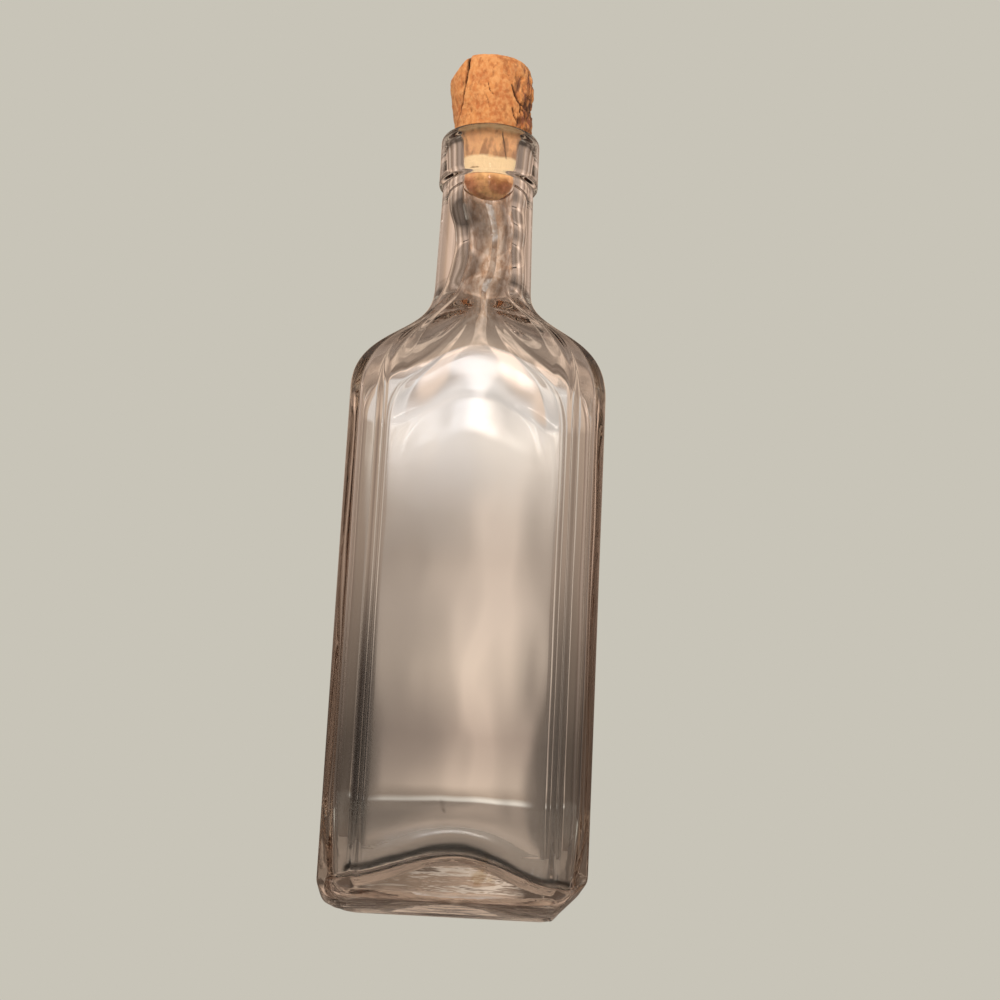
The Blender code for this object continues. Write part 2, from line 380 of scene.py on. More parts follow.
# Outside of the glass, from the middle of the push-up to the edge of the lip. The heel is an arc, tighter
# under the panels, and the lip is a smooth step out, a straight band and an arc.
def outerRings():
    neckTop = shoulderTop + glass["neckLength"]
    rings = []
    body = bodyOutline(0, glass["edgeRadius"])
    towardsPanel = eased(np.abs(body[:, 1]), glass["halfDepth"] - glass["cornerCut"], glass["halfDepth"])
    tightness = 1 - (1 - glass["panelHeelShare"]) * towardsPanel
    drawn = (bodyOutline(glass["heelRadius"], glass["edgeRadius"]) - body) * tightness[:, None]
    for share in np.linspace(0.03, 0.97, 34):
        rings.append(ringAt((body + drawn) * share, glass["pushUp"] * (1 - eased(share, 0.1, 0.74))))
    for turn in np.linspace(0, math.pi / 2, 15):
        heights = glass["heelRadius"] * tightness * (1 - math.cos(turn))
        rings.append(ringAt(body + drawn * (1 - math.sin(turn)), heights))
    tops = panelTops(body, glass["bodyHeight"])
    heelTop = glass["heelRadius"] * tightness
    for share in np.concatenate([np.linspace(0, 0.12, 16)[1:], np.linspace(0.12, 1, 16)[1:]]):
        rings.append(ringAt(body, heelTop + (tops - heelTop) * share))
    rings += shoulderRings(body, tops, roundOutline(glass["neckBaseRadius"]), shoulderTop, 48)
    share = np.linspace(0, 1, 15)[1:]
    taper = glass["neckTopRadius"] - glass["neckBaseRadius"]
    rings += roundRings(glass["neckBaseRadius"] + taper * share, shoulderTop + glass["neckLength"] * share)
    share = np.linspace(0, 1, 8)[1:]
    stepOut = glass["lipRadius"] - glass["neckTopRadius"]
    rings += roundRings(glass["neckTopRadius"] + stepOut * eased(share, 0, 1),
                        neckTop + glass["lipStep"] * share)
    bandBottom, bandTop = neckTop + glass["lipStep"], glass["height"] - glass["lipEdge"]
    rings += roundRings(glass["lipRadius"], bandBottom + (bandTop - bandBottom) * np.linspace(0, 1, 9)[1:-1])
    turn = np.linspace(0, math.pi / 2, 9)
    rings += roundRings(glass["lipRadius"] - glass["lipEdge"] * (1 - np.cos(turn)),
                        bandTop + glass["lipEdge"] * np.sin(turn))
    return rings


# Radius of the bore at a height: an even taper from the mouth to the waist, and wider again below it.
def boreRadius(height):
    mouth = glass["height"] - glass["mouthDepth"]
    upper = np.clip((height - glass["waistHeight"]) / (mouth - glass["waistHeight"]), 0, 1)
    lower = eased(-height, -glass["waistHeight"], -shoulderTop)
    return (glass["waistBore"] + (glass["mouthBore"] - glass["waistBore"]) * upper
            + (glass["neckBaseBore"] - glass["waistBore"]) * lower)


# Inside of the neck, from the lip's flat top through the flared mouth down the bore.
def boreRings():
    top, depth, flare = glass["height"], glass["mouthDepth"], glass["mouthFlare"]
    topRadius, mouthRadius = glass["lipRadius"] - glass["lipEdge"], glass["mouthBore"] + flare
    rings = roundRings(topRadius + (mouthRadius - topRadius) * np.linspace(0.25, 1, 4), top)
    share = np.linspace(0, 1, 7)[1:]
    rings += roundRings(mouthRadius - flare * eased(share, 0, 1), top - depth * share)
    heights = np.linspace(top - depth, shoulderTop, 25)[1:]
    return rings + roundRings(boreRadius(heights), heights)


# Height of the hollow's floor: a wave of a cosine across the width, highest in the middle, shorter to the
# right.
def floorHeight(x):
    away = x - glass["floorMiddle"]
    turn = math.pi * np.clip(away / np.where(away < 0, glass["floorLeft"], glass["floorRight"]), -1, 1)
    return glass["baseThickness"] + glass["floorRise"] * (1 + np.cos(turn)) / 2


# Outline of the hollow, drawn in by inset from the body's.
def innerOutline(inset):
    return bodyOutline(inset, glass["innerEdgeRadius"], glass["innerCutExtra"])


# Inside of the body: shoulder, straight wall, a wall that leans in by a power of its depth, a round heel and
# the arched floor, whose arch fades out up the leaning wall.
def hollowRings():
    inner = innerOutline(glass["wall"])
    tops = panelTops(inner, glass["bodyHeight"] - glass["wall"] / 2)
    rising = shoulderRings(inner, tops, roundOutline(glass["neckBaseBore"]), shoulderTop, 44)
    rings = rising[-2::-1] + [ringAt(inner, tops)]
    for share in np.linspace(0, 1, 22)[1:]:
        rings.append(ringAt(inner, tops + (glass["bowlTop"] - tops) * share))
    heel, bowlDepth = glass["heelTurn"], glass["bowlTop"] - glass["baseThickness"]
    lean = math.atan(glass["bowlCurve"] * glass["bowlInset"] / bowlDepth)
    foot = heel * (1 - math.sin(lean))
    for down in 1 - np.linspace(1, 0, 31)[1:] ** 1.8:
        outline = innerOutline(glass["wall"] + glass["bowlInset"] * down ** glass["bowlCurve"])
        arch = floorHeight(outline[:, 0]) - glass["baseThickness"]
        drop = (bowlDepth - foot) * down
        rings.append(ringAt(outline, glass["bowlTop"] - drop + arch * down ** glass["bowlArch"]))
    for turn in np.linspace(lean, math.pi / 2, 15)[1:]:
        inset = glass["bowlInset"] + heel * (math.cos(lean) - math.cos(turn))
        outline = innerOutline(glass["wall"] + inset)
        rings.append(ringAt(outline, floorHeight(outline[:, 0]) + heel * (1 - math.sin(turn))))
    last = rings[-1][:, :2]
    for share in np.linspace(1, 0, 20)[1:-1]:
        outline = last * [0.3 + 0.7 * share, share]
        rings.append(ringAt(outline, floorHeight(outline[:, 0])))
    return rings


handwork = {
    "shoulderDrop": 0.0019,
    "dropAcross": (0.004, 0.016),
    "heelCut": 0.0252,
    "heelSoftness": 0.0006,
    "outerWave": 0.00002,
    "innerWave": 0.00008,
    "waveSize": 0.018,
    "waveFoot": (0.0005, 0.006),
    "plugEnd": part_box("cork_stopper")[0].z,
    "belowPlug": (0.010, 0.002),
    "shiftHeights": (-0.006, 0.008),
    "baseWave": 0.00030,
    "baseWaveSize": 0.0050,
    "underHeights": (0.00001, 0.0004, 0.0012, 0.0020),
    "bottomHeights": (0.010, 0.013),
    "heelWave": 0.00006,
    "heelWaveSize": 0.0052,
    "heelHeights": (0.002, 0.005, 0.009, 0.014),
}


# 1 between the two middle limits, 0 outside the two outer ones, for whole arrays.
def between(value, limits):
    return eased(value, limits[0], limits[1]) * (1 - eased(value, limits[2], limits[3]))


# Unevenness of hand-made glass: a left shoulder lower by a sine of its height, a right heel cut along a
# diagonal with a soft edge, waves of noise, and a bore off its axis.
def handBlown(points, outerCount):
    points = points.copy()
    x, z = points[..., 0], points[..., 2]
    slope = np.sin(math.pi * np.clip((z - glass["bodyHeight"]) / glass["shoulderHeight"], 0, 1))
    points[..., 2] -= handwork["shoulderDrop"] * slope * eased(-x, *handwork["dropAcross"])
    past = (x - z - handwork["heelCut"]) / handwork["heelSoftness"]
    past = handwork["heelSoftness"] * np.log1p(np.exp(np.clip(past, -30, 30)))
    past[outerCount:] = 0
    points[..., 0] -= past / 2
    points[..., 2] += past / 2
    inside = (np.arange(len(points)) >= outerCount)[:, None].astype(float)
    outside = 1 - inside
    height = points[..., 2]
    plugLow, plugHigh = handwork["belowPlug"]
    below = 1 - eased(height, handwork["plugEnd"] - plugLow, handwork["plugEnd"] - plugHigh)
    shiftLow, shiftHigh = handwork["shiftHeights"]
    shifted = eased(height, shoulderTop + shiftLow, shoulderTop + shiftHigh) * below
    points[..., 0] += inside * glass["boreShift"] * shifted
    wave = (inside * handwork["innerWave"] + outside * handwork["outerWave"]) * below
    wave = wave * eased(height, *handwork["waveFoot"])
    for axis, seed in ((0, 3), (1, 9)):
        points[..., axis] += wave * roughNoise(points * [1, 1, 0.45], handwork["waveSize"], seed)
    under = outside * between(height, handwork["underHeights"])
    bottom = inside * (1 - eased(height, *handwork["bottomHeights"]))
    rough = roughNoise(points * [0.3, 1, 1], handwork["baseWaveSize"], 21, 4)
    points[..., 2] += (under + bottom * 0.6) * handwork["baseWave"] * rough
    ripple = roughNoise(points * [0.35, 1, 1], handwork["heelWaveSize"], 33)
    points[..., 1] += outside * between(height, handwork["heelHeights"]) * handwork["heelWave"] * ripple
    return points


# Patterns of the mottle group are given by their stretch by axis, scale, low and high level and detail.
glassLook = {
    "cloudy": ((1, 1, 0.6), 650, 0.38, 0.64, 4.0),
    "scratches": ((0.18, 1, 1), 420, 0.36, 0.64, 3.0),
    "ior": 1.5,
    "roughness": 0.0,
    "tint": (0.55, 0.35, 0.20, 1.0),
    "density": 16.0,
    "clean": (1.0, 1.0, 1.0, 1),
    "film": (0.57, 0.44, 0.34, 1),
    "stain": (0.52, 0.34, 0.10, 1),
    "speck": (0.30, 0.26, 0.22, 1),
    # line: near black, painted shade along the inner heel and up the corners
    "line": (0.012, 0.006, 0.003, 1),
    "scuffStrength": 0.6,
    "scuffDepth": 0.00010,
}
# Dirt, and painted shade: spots of dirt as x, y, z and radius; the painted shade line's height and half width
# at places across; for each painted shade line up a corner its column on the outline, strength, height up to
# which it is full, its top and its width.
dirtAndShade = {
    "stains": [(0.0072, -0.020, 0.0098, 0.0013), (0.0060, -0.020, 0.0060, 0.0021),
               (0.0086, -0.020, 0.0052, 0.0012)],
    "stainStrength": 0.7,
    "spotEdge": (0.65, 1.05),
    "spotUneven": 0.35,
    "specks": [(-0.0034, -0.0165, 0.0226, 0.0007), (-0.0030, -0.0165, 0.0214, 0.0007)],
    "filmHeights": (0.150, 0.158, 0.186, 0.190),
    "wornTop": (0.009, 0.016),
    "wornUnder": (0.0012, 0.0024),
    "wornSide": 0.25,
    "lineAcross": (-0.024, -0.012, 0.0, 0.010, 0.020),
    "lineHeights": (0.0026, 0.0024, 0.0019, 0.0017, 0.0013),
    "lineHalves": (0.0009, 0.0010, 0.0013, 0.0010, 0.0007),
    "lineUneven": 0.0003,
    "lineOver": 0.0034,
    "lineHaze": 0.25,
    "lineLeftEnd": (-0.0250, -0.0236),
    "corners": [(36, 0.97, 0.050, 0.090, 0.0015), (19, 0.65, 0.020, 0.060, 0.0012)],
    "cornerFoot": (0.005, 0.008),
    "cornerRight": 0.55,
}


# Spots of dirt: 1 to 0 by the distance from a spot's middle, with an uneven edge.
def spotValues(points, spots):
    values = np.zeros(points.shape[:-1])
    edge = roughNoise(points, 0.0014, 31) * dirtAndShade["spotUneven"]
    for x, y, z, radius in spots:
        distance = np.linalg.norm(points - [x, y, z], axis=-1) / radius
        values = np.maximum(values, 1 - eased(distance + edge, *dirtAndShade["spotEdge"]))
    return values


# Clear glass: one shader bends and mirrors the light, its colour is dirt and painted shade on the surface,
# and a tint inside.
def makeGlassMaterial():
    material, tree = newMaterial("clearGlass")
    film = product(tree, pointValue(tree, "film"), mottle(tree, *glassLook["cloudy"]))
    colour = mixColours(tree, film, glassLook["clean"], glassLook["film"])
    # Stains and specks are dirt; the line is painted shade.
    for name in ("stain", "speck", "line"):
        colour = mixColours(tree, pointValue(tree, name), colour, glassLook[name])
    scuffs = product(tree, pointValue(tree, "worn"), mottle(tree, *glassLook["scratches"]))
    normal = addNode(tree, "Bump", Height=scuffs, Strength=glassLook["scuffStrength"],
                     Distance=glassLook["scuffDepth"]).outputs["Normal"]
    shader = addNode(tree, "BsdfPrincipled", Base_Color=colour, Roughness=glassLook["roughness"],
                     Metallic=0.0, IOR=glassLook["ior"], Transmission_Weight=1.0, Normal=normal)
    inside = addNode(tree, "VolumeAbsorption", Color=glassLook["tint"], Density=glassLook["density"])
    addNode(tree, "OutputMaterial", Surface=shader.outputs["BSDF"], Volume=inside.outputs["Volume"])
    return material


# Painted shade at the bottom of the hollow: a dark flat bell over the floor, widest in the middle, with a
# soft upper edge, and up the corners, where it fades out.
def paintedShadeValues(points, inside):
    x, y, z = points[..., 0], points[..., 1], points[..., 2]
    above = z - floorHeight(x) - np.interp(x, dirtAndShade["lineAcross"], dirtAndShade["lineHeights"])
    above = above + dirtAndShade["lineUneven"] * roughNoise(points, 0.006, 83)
    under = np.exp(-(above / np.interp(x, dirtAndShade["lineAcross"], dirtAndShade["lineHalves"])) ** 4)
    haze = dirtAndShade["lineHaze"]
    over = haze * np.exp(-(above / dirtAndShade["lineOver"]) ** 2) + (1 - haze) * under
    shadeLines = np.where(above < 0, under, over) * eased(x, *dirtAndShade["lineLeftEnd"])
    edge = innerOutline(glass["wall"])
    for column, strength, full, top, width in dirtAndShade["corners"]:
        away = np.hypot(np.abs(x) - edge[column, 0], np.abs(y) - edge[column, 1]) / width
        corner = strength * np.exp(-away ** 2) * between(z, (*dirtAndShade["cornerFoot"], full, top))
        shadeLines = np.maximum(shadeLines, corner * np.where(x > 0, dirtAndShade["cornerRight"], 1))
    return inside * np.clip(shadeLines, 0, 1)


# The bottle's glass as one closed surface, with its two middles on the axis.
def makeGlass():
    outer = outerRings()
    rings = handBlown(np.array(outer + boreRings() + hollowRings()), len(outer))
    piece = surfaceObject("bottleGlass", rings, (0, 0, glass["pushUp"]), (0, 0, floorHeight(0)))
    inside = (np.arange(len(rings)) >= len(outer))[:, None].astype(float)
    outside = 1 - inside
    height = rings[..., 2]
    worn = 1 - (1 - dirtAndShade["wornSide"]) * eased(height, *dirtAndShade["wornUnder"])
    values = {
        "film": inside * between(height, dirtAndShade["filmHeights"]),
        # painted shade along the inner heel and up the corners
        "line": paintedShadeValues(rings, inside),
        "stain": dirtAndShade["stainStrength"] * outside * spotValues(rings, dirtAndShade["stains"]),
        "speck": inside * spotValues(rings, dirtAndShade["specks"]),
        "worn": outside * worn * (1 - eased(height, *dirtAndShade["wornTop"])),
    }
    for name, value in values.items():
        addPointValues(piece, name, value)
    piece.data.materials.append(makeGlassMaterial())
    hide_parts("glass_bottle")
    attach(piece, "bottle")
    print(f"scene: glass has {rings.shape[0]} rings of {rings.shape[1]} columns")


makeGlass()


# Cork stopper

corkLow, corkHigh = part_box("cork_stopper")
# Heights count from the bottle's foot, headStart from the lip; turns are degrees from the front towards +X.
cork = {
    "columns": 320,
    "rings": 270,
    "plugGap": 0.0004,
    "lipRadius": 0.0098,
    "bulgeRadius": 0.0108,
    "topRadius": 0.0106,
    "topRounding": 0.0020,
    "endRounding": 0.0045,
    "lipGap": 0.0003,
    "headLean": 0.0012,
    "leanHeights": (0.202, 0.220),
    "footShift": 0.0004,
    "headStart": (0.0004, 0.0022),
    "plugRoughness": 0.25,
    "plugCracks": 0.35,
    "lumpSize": 0.0046,
    "lumpHeight": 0.00020,
    "grainSize": 0.0011,
    "grainHeight": 0.00008,
    "poreSize": 0.0016,
    "poreShare": 0.30,
    "poreDepth": 0.00045,
    "crumbledTurns": (26, 44, 100, 128),
    "crumbledHeights": (0.200, 0.203, 0.2180, 0.2210),
    "crumbledFrom": (0.005, 0.009),
    "crumbSize": 0.0030,
    "crumbleDepth": 0.0011,
    "crumbleSwell": 0.0005,
    "chipStart": (-0.0062, 0.2212),
    "chipEnd": (-0.0117, 0.2166),
    "fullShadeDepth": 0.0006,
}
# Cracks: turns in degrees from the front towards +X, heights in mm, then width and depth in mm.
cracks = [
    ((-34, -36, -40, -46, -59, -80), (222, 219, 214.5, 210.5, 206, 202), 0.50, 1.6),
    ((28, 33, 38, 46, 54), (213, 210.5, 209, 207, 204), 0.42, 1.4),
    ((29, 33, 40, 52, 62), (206.5, 204, 202.3, 201.9, 202.2), 0.36, 1.2),
    ((-7.5, -6, -5, 1.5), (213.2, 212, 210.5, 209), 0.16, 0.6),
    ((-11, -9, -7, 1), (209.5, 208, 206, 204.6), 0.12, 0.4),
    ((17, 21, 26), (216.2, 215.2, 215.4), 0.16, 0.45),
    ((20, 24, 31), (199.5, 196.5, 192.5), 0.22, 0.8),
    ((110, 118, 114, 122), (218, 213, 209, 204), 0.22, 0.9),
    ((196, 204, 199), (221, 214, 207), 0.20, 0.8),
    ((-112, -106, -110, -101), (215, 211, 207, 203), 0.24, 0.9),
]


# Radius and height of the cork's side, from its inserted end to its top face, evenly spaced along it.
def corkProfile():
    low, top, lip = corkLow.z, corkHigh.z, glass["height"]
    headHeight = top - lip
    turns = np.linspace(0, math.pi / 2, 14)
    endRadius = boreRadius(low + cork["endRounding"]) - cork["plugGap"]
    plugRadius = glass["mouthBore"] - cork["plugGap"]
    end = np.stack([endRadius - cork["endRounding"] * (1 - np.sin(turns)),
                    low + cork["endRounding"] * (1 - np.cos(turns))], axis=-1)
    head = np.stack([cork["topRadius"] - cork["topRounding"] * (1 - np.cos(turns)),
                     top - cork["topRounding"] * (1 - np.sin(turns))], axis=-1)
    middle = np.array([
        [plugRadius, lip - glass["mouthDepth"]],
        [plugRadius + glass["mouthFlare"], lip + cork["lipGap"]],
        [cork["lipRadius"], lip + cork["lipGap"] * 1.5],
        [cork["lipRadius"] + 0.0001, lip + 0.0016],
        [cork["bulgeRadius"], lip + headHeight * 0.50],
        [(cork["bulgeRadius"] + cork["topRadius"]) / 2, lip + headHeight * 0.76],
    ])
    points = np.concatenate([[[0.0004, low]], end, middle, head, [[0.0004, top]]])
    along = np.concatenate([[0], np.cumsum(np.hypot(*np.diff(points, axis=0).T))])
    even = np.linspace(0, along[-1], cork["rings"])
    return np.stack([np.interp(even, along, points[:, 0]), np.interp(even, along, points[:, 1])], axis=-1)


# Depth and darkness of a crack: a narrow bell across its line, which wanders with noise and fades at its
# ends.
def crackDepth(points, turns, heights, width, depth):
    height, around = points[..., 2], np.hypot(points[..., 0], points[..., 1])
    turn = np.degrees(np.arctan2(points[..., 0], -points[..., 1]))
    heights, turns = np.array(heights[::-1]) / 1000, np.array(turns[::-1], dtype=float)
    order = np.argsort(heights)
    line = np.interp(height, heights[order], turns[order])
    away = np.radians((turn - line + 180) % 360 - 180) * around
    away = away + roughNoise(points, 0.0022, 61) * 0.00022
    low, high = heights.min(), heights.max()
    taper = 0.55 + 0.75 * eased(height, low, high)
    halfWidth = width / 2000 * taper * (1 + 0.5 * smoothNoise(points, 0.0018, 67))
    fade = between(height, (low - 0.0006, low + 0.0010, high - 0.0008, high + 0.0006))
    return np.exp(-(away / halfWidth) ** 2) * fade * depth / 1000


corkLook = {
    "patterns": {
        "clouds": ((1, 1, 0.75), 210, 0.36, 0.64, 3.0),
        "grain": ((1, 1, 0.75), 1100, 0.38, 0.64, 4.0),
        "flecks": ((1, 1, 0.6), 760, 0.53, 0.66, 3.0),
        "streaks": ((1, 1, 0.22), 900, 0.40, 0.62, 3.0),
        "stains": ((1, 1, 0.45), 420, 0.47, 0.60, 3.0),
    },
    "tans": ((0.52, 0.165, 0.050, 1), (0.68, 0.27, 0.088, 1)),
    "grain": (0.82, 0.42, 0.17, 1),
    "grainShare": 0.45,
    "flecks": (0.36, 0.11, 0.033, 1),
    "fleckShare": 0.55,
    "crumbs": (0.24, 0.085, 0.045, 1),
    "wander": 0.0007,
    "lipHeights": (0.186, 0.206),
    "plugLevels": [(0.70, 0.85), (0.74, 0)],
    "plug": (0.98, 0.56, 0.26, 1),
    "plugShare": 0.45,
    "stains": (0.30, 0.11, 0.04, 1),
    # Painted highlight: a bright band on the cork inside the lip, and painted light on the head's underside
    # over the lip
    "paintedLightLevels": [(0.00, 0), (0.22, 0), (0.24, 1), (0.345, 1), (0.38, 0.12), (0.70, 0.05), (0.74, 0.9),
                   (0.80, 0)],
    "pale": (1.0, 0.74, 0.43, 1),
    "endHeights": (0.1906, 0.1902),
    "endTones": ((0.66, 0.26, 0.11, 1), (1.0, 0.56, 0.23, 1)),
    # a dark line at the rim of the end, below the pale band
    "darkRimLevels": [(0.195, 0), (0.210, 0.8), (0.225, 0.8), (0.235, 0)],
    "darkRim": (0.14, 0.055, 0.028, 1),
    # hollow: painted shade in cracks, pores and torn spots
    "hollow": (0.045, 0.018, 0.009, 1),
    "roughness": 0.82,
    "reliefStrength": 0.4,
    "reliefDepth": 0.00014,
}


# Cork: tan to orange clouds, painted shade in pores and cracks, reddish crumbs, a painted highlight band and
# a red-brown end.
def makeCorkMaterial():
    material, tree = newMaterial("naturalCork")
    masks = {name: mottle(tree, *pattern) for name, pattern in corkLook["patterns"].items()}
    wavy = calculate(tree, "MULTIPLY_ADD", masks["clouds"], corkLook["wander"], placeParts(tree)["Z"])
    inLip = moved(tree, wavy, *corkLook["lipHeights"])
    plug = addLevels(tree, inLip, corkLook["plugLevels"])
    colour = mixColours(tree, masks["clouds"], *corkLook["tans"])
    endTone = mixColours(tree, masks["clouds"], *corkLook["endTones"])
    layers = [
        (product(tree, masks["grain"], corkLook["grainShare"]), corkLook["grain"]),
        (product(tree, masks["flecks"], corkLook["fleckShare"]), corkLook["flecks"]),
        (product(tree, pointValue(tree, "crumbs"), masks["streaks"]), corkLook["crumbs"]),
        (product(tree, plug, corkLook["plugShare"]), corkLook["plug"]),
        (product(tree, masks["stains"], plug), corkLook["stains"]),
        # painted highlight band inside the lip and under the head
        (addLevels(tree, inLip, corkLook["paintedLightLevels"]), corkLook["pale"]),
        (stepped(tree, wavy, *corkLook["endHeights"]), endTone),
        (addLevels(tree, inLip, corkLook["darkRimLevels"]), corkLook["darkRim"]),
        # painted shade, darker where a crack, pore or torn spot goes deeper
        (pointValue(tree, "hollow"), corkLook["hollow"]),
    ]
    for mask, tone in layers:
        colour = mixColours(tree, mask, colour, tone)
    normal = addNode(tree, "Bump", Height=masks["grain"], Strength=corkLook["reliefStrength"],
                     Distance=corkLook["reliefDepth"]).outputs["Normal"]
    shader = addNode(tree, "BsdfPrincipled", Base_Color=colour, Normal=normal,
                     Roughness=corkLook["roughness"])
    addNode(tree, "OutputMaterial", Surface=shader.outputs["BSDF"])
    return material


# A line of radius and height turned round the axis.
def turned(line):
    turns = np.linspace(0, math.tau, cork["columns"], endpoint=False)
    return np.stack([line[:, :1] * np.cos(turns), line[:, :1] * np.sin(turns),
                     np.broadcast_to(line[:, 1:], (len(line), len(turns)))], axis=-1)


# The cork as a turned surface with lumps, grain, pores, cracks, a crumbled side and a chipped top edge.
def makeCork():
    profile = corkProfile()
    slope = np.gradient(profile, axis=0)
    slope = slope / np.linalg.norm(slope, axis=1)[:, None]
    rings = turned(profile)
    outward = turned(slope[:, ::-1] * [1, -1])
    height = rings[..., 2]
    head = eased(height, *(glass["height"] + above for above in cork["headStart"]))
    turn = np.degrees(np.arctan2(rings[..., 0], -rings[..., 1]))
    side = eased(np.hypot(rings[..., 0], rings[..., 1]), *cork["crumbledFrom"])
    crumbled = between(turn, cork["crumbledTurns"]) * side * head * between(height, cork["crumbledHeights"])
    pore = pits(rings * [1, 1, 0.55], cork["poreSize"], 41, cork["poreShare"]) ** 0.7
    pore = pore * (0.30 + 0.70 * eased(roughNoise(rings, 0.006, 47), -0.2, 0.6))
    split = sum(crackDepth(rings, *crack) for crack in cracks)
    shreds = np.abs(roughNoise(rings * [1, 1, 0.42], cork["crumbSize"], 51, 4))
    move = (cork["lumpHeight"] * roughNoise(rings, cork["lumpSize"], 43)
            + cork["grainHeight"] * roughNoise(rings, cork["grainSize"], 45, 2)
            - cork["poreDepth"] * pore
            - cork["crumbleDepth"] * crumbled * (1 - eased(shreds, 0.02, 0.55))
            + cork["crumbleSwell"] * crumbled)
    rough = cork["plugRoughness"] + (1 - cork["plugRoughness"]) * head
    cracked = cork["plugCracks"] + (1 - cork["plugCracks"]) * head
    rings = rings + outward * (move * rough - split * cracked)[..., None]
    rings[..., 0] += head * cork["footShift"] - cork["headLean"] * eased(height, *cork["leanHeights"])
    startX, startZ = cork["chipStart"]
    across, down = np.subtract(cork["chipStart"], cork["chipEnd"])
    length = math.hypot(across, down)
    over = ((rings[..., 2] - startZ) * across - (rings[..., 0] - startX) * down) / length
    over = np.clip(over + 0.00012 * roughNoise(rings, 0.0016, 71), 0, None)
    rings[..., 0] += over * down / length
    rings[..., 2] -= over * across / length
    torn = crumbled * (1 - eased(shreds, 0.03, 0.30))
    # Painted shade: darker the deeper a crack, pore or torn spot goes.
    hollow = np.clip(split / cork["fullShadeDepth"], 0, 1) + 0.70 * pore ** 1.6 + 0.65 * torn
    topCentre = (cork["footShift"] - cork["headLean"], 0, corkHigh.z)
    piece = surfaceObject("corkStopper", rings, (0, 0, corkLow.z), topCentre)
    addPointValues(piece, "hollow", np.clip(hollow, 0, 1))
    addPointValues(piece, "crumbs", crumbled)
    piece.data.materials.append(makeCorkMaterial())
    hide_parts("cork_stopper")
    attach(piece, "cork")
    print(f"scene: cork has {rings.shape[0]} rings of {rings.shape[1]} columns")


makeCork()


# Camera, floor and light

view = {
    "target": (0.0071, 0.0, 0.1028),
    "azimuth": -1.76,
    "elevation": -16.0,
    "distance": 0.5774,
    "roll": 2.84,
    "focalPixels": 2290.0,
    "framePixels": 1000.0,
    "sensorWidth": 36.0,
}


# Camera at the given turn and height round its target, rolled about its own axis.
def makeCamera():
    azimuth, elevation = math.radians(view["azimuth"]), math.radians(view["elevation"])
    back = Vector((math.sin(azimuth) * math.cos(elevation), -math.cos(azimuth) * math.cos(elevation),
                   math.sin(elevation)))
    right = (-back).cross(Vector((0, 0, 1))).normalized()
    up = right.cross(-back)
    roll = Matrix.Rotation(-math.radians(view["roll"]), 3, -back)
    axes = Matrix((roll @ right, roll @ up, back)).transposed().to_4x4()
    data = bpy.data.cameras.new("photoCamera")
    data.sensor_width = view["sensorWidth"]
    data.lens = view["focalPixels"] / view["framePixels"] * view["sensorWidth"]
    data.clip_start = 0.01
    camera = bpy.data.objects.new("photoCamera", data)
    camera.matrix_world = Matrix.Translation(Vector(view["target"]) + back * view["distance"]) @ axes
    bpy.context.scene.collection.objects.link(camera)
    bpy.context.scene.camera = camera


backdrop = (0.578, 0.552, 0.479, 1)
floor = {
    "reach": 3.0,
    "fadeOut": (0.40, 1.10),
    "height": -0.0003,
    "roughness": 0.8,
    "contactShadow": (0.80, 1.25),
    # painted shadow under the bottle
    "paintedShadow": (0.075, 0.056, 0.041, 1),
    "rampReach": 0.3,
    # painted shade of the room: pale near the bottle, darker behind it and to the sides
    "throughGlass": [(0.0, (0.70, 0.56, 0.45)), (0.18, (0.70, 0.56, 0.45)), (0.26, (0.36, 0.285, 0.225)),
                     (0.70, (0.34, 0.27, 0.215)), (1.0, (0.38, 0.30, 0.235))],
    "shadeBeside": (0.14, 0.105, 0.080, 1),
    "besideFrom": (0.01, 0.05),
    "besideWidening": 0.12,
    "brownBehind": (-0.03, -0.01),
    "paleAbeam": (0.22, 0.08),
}


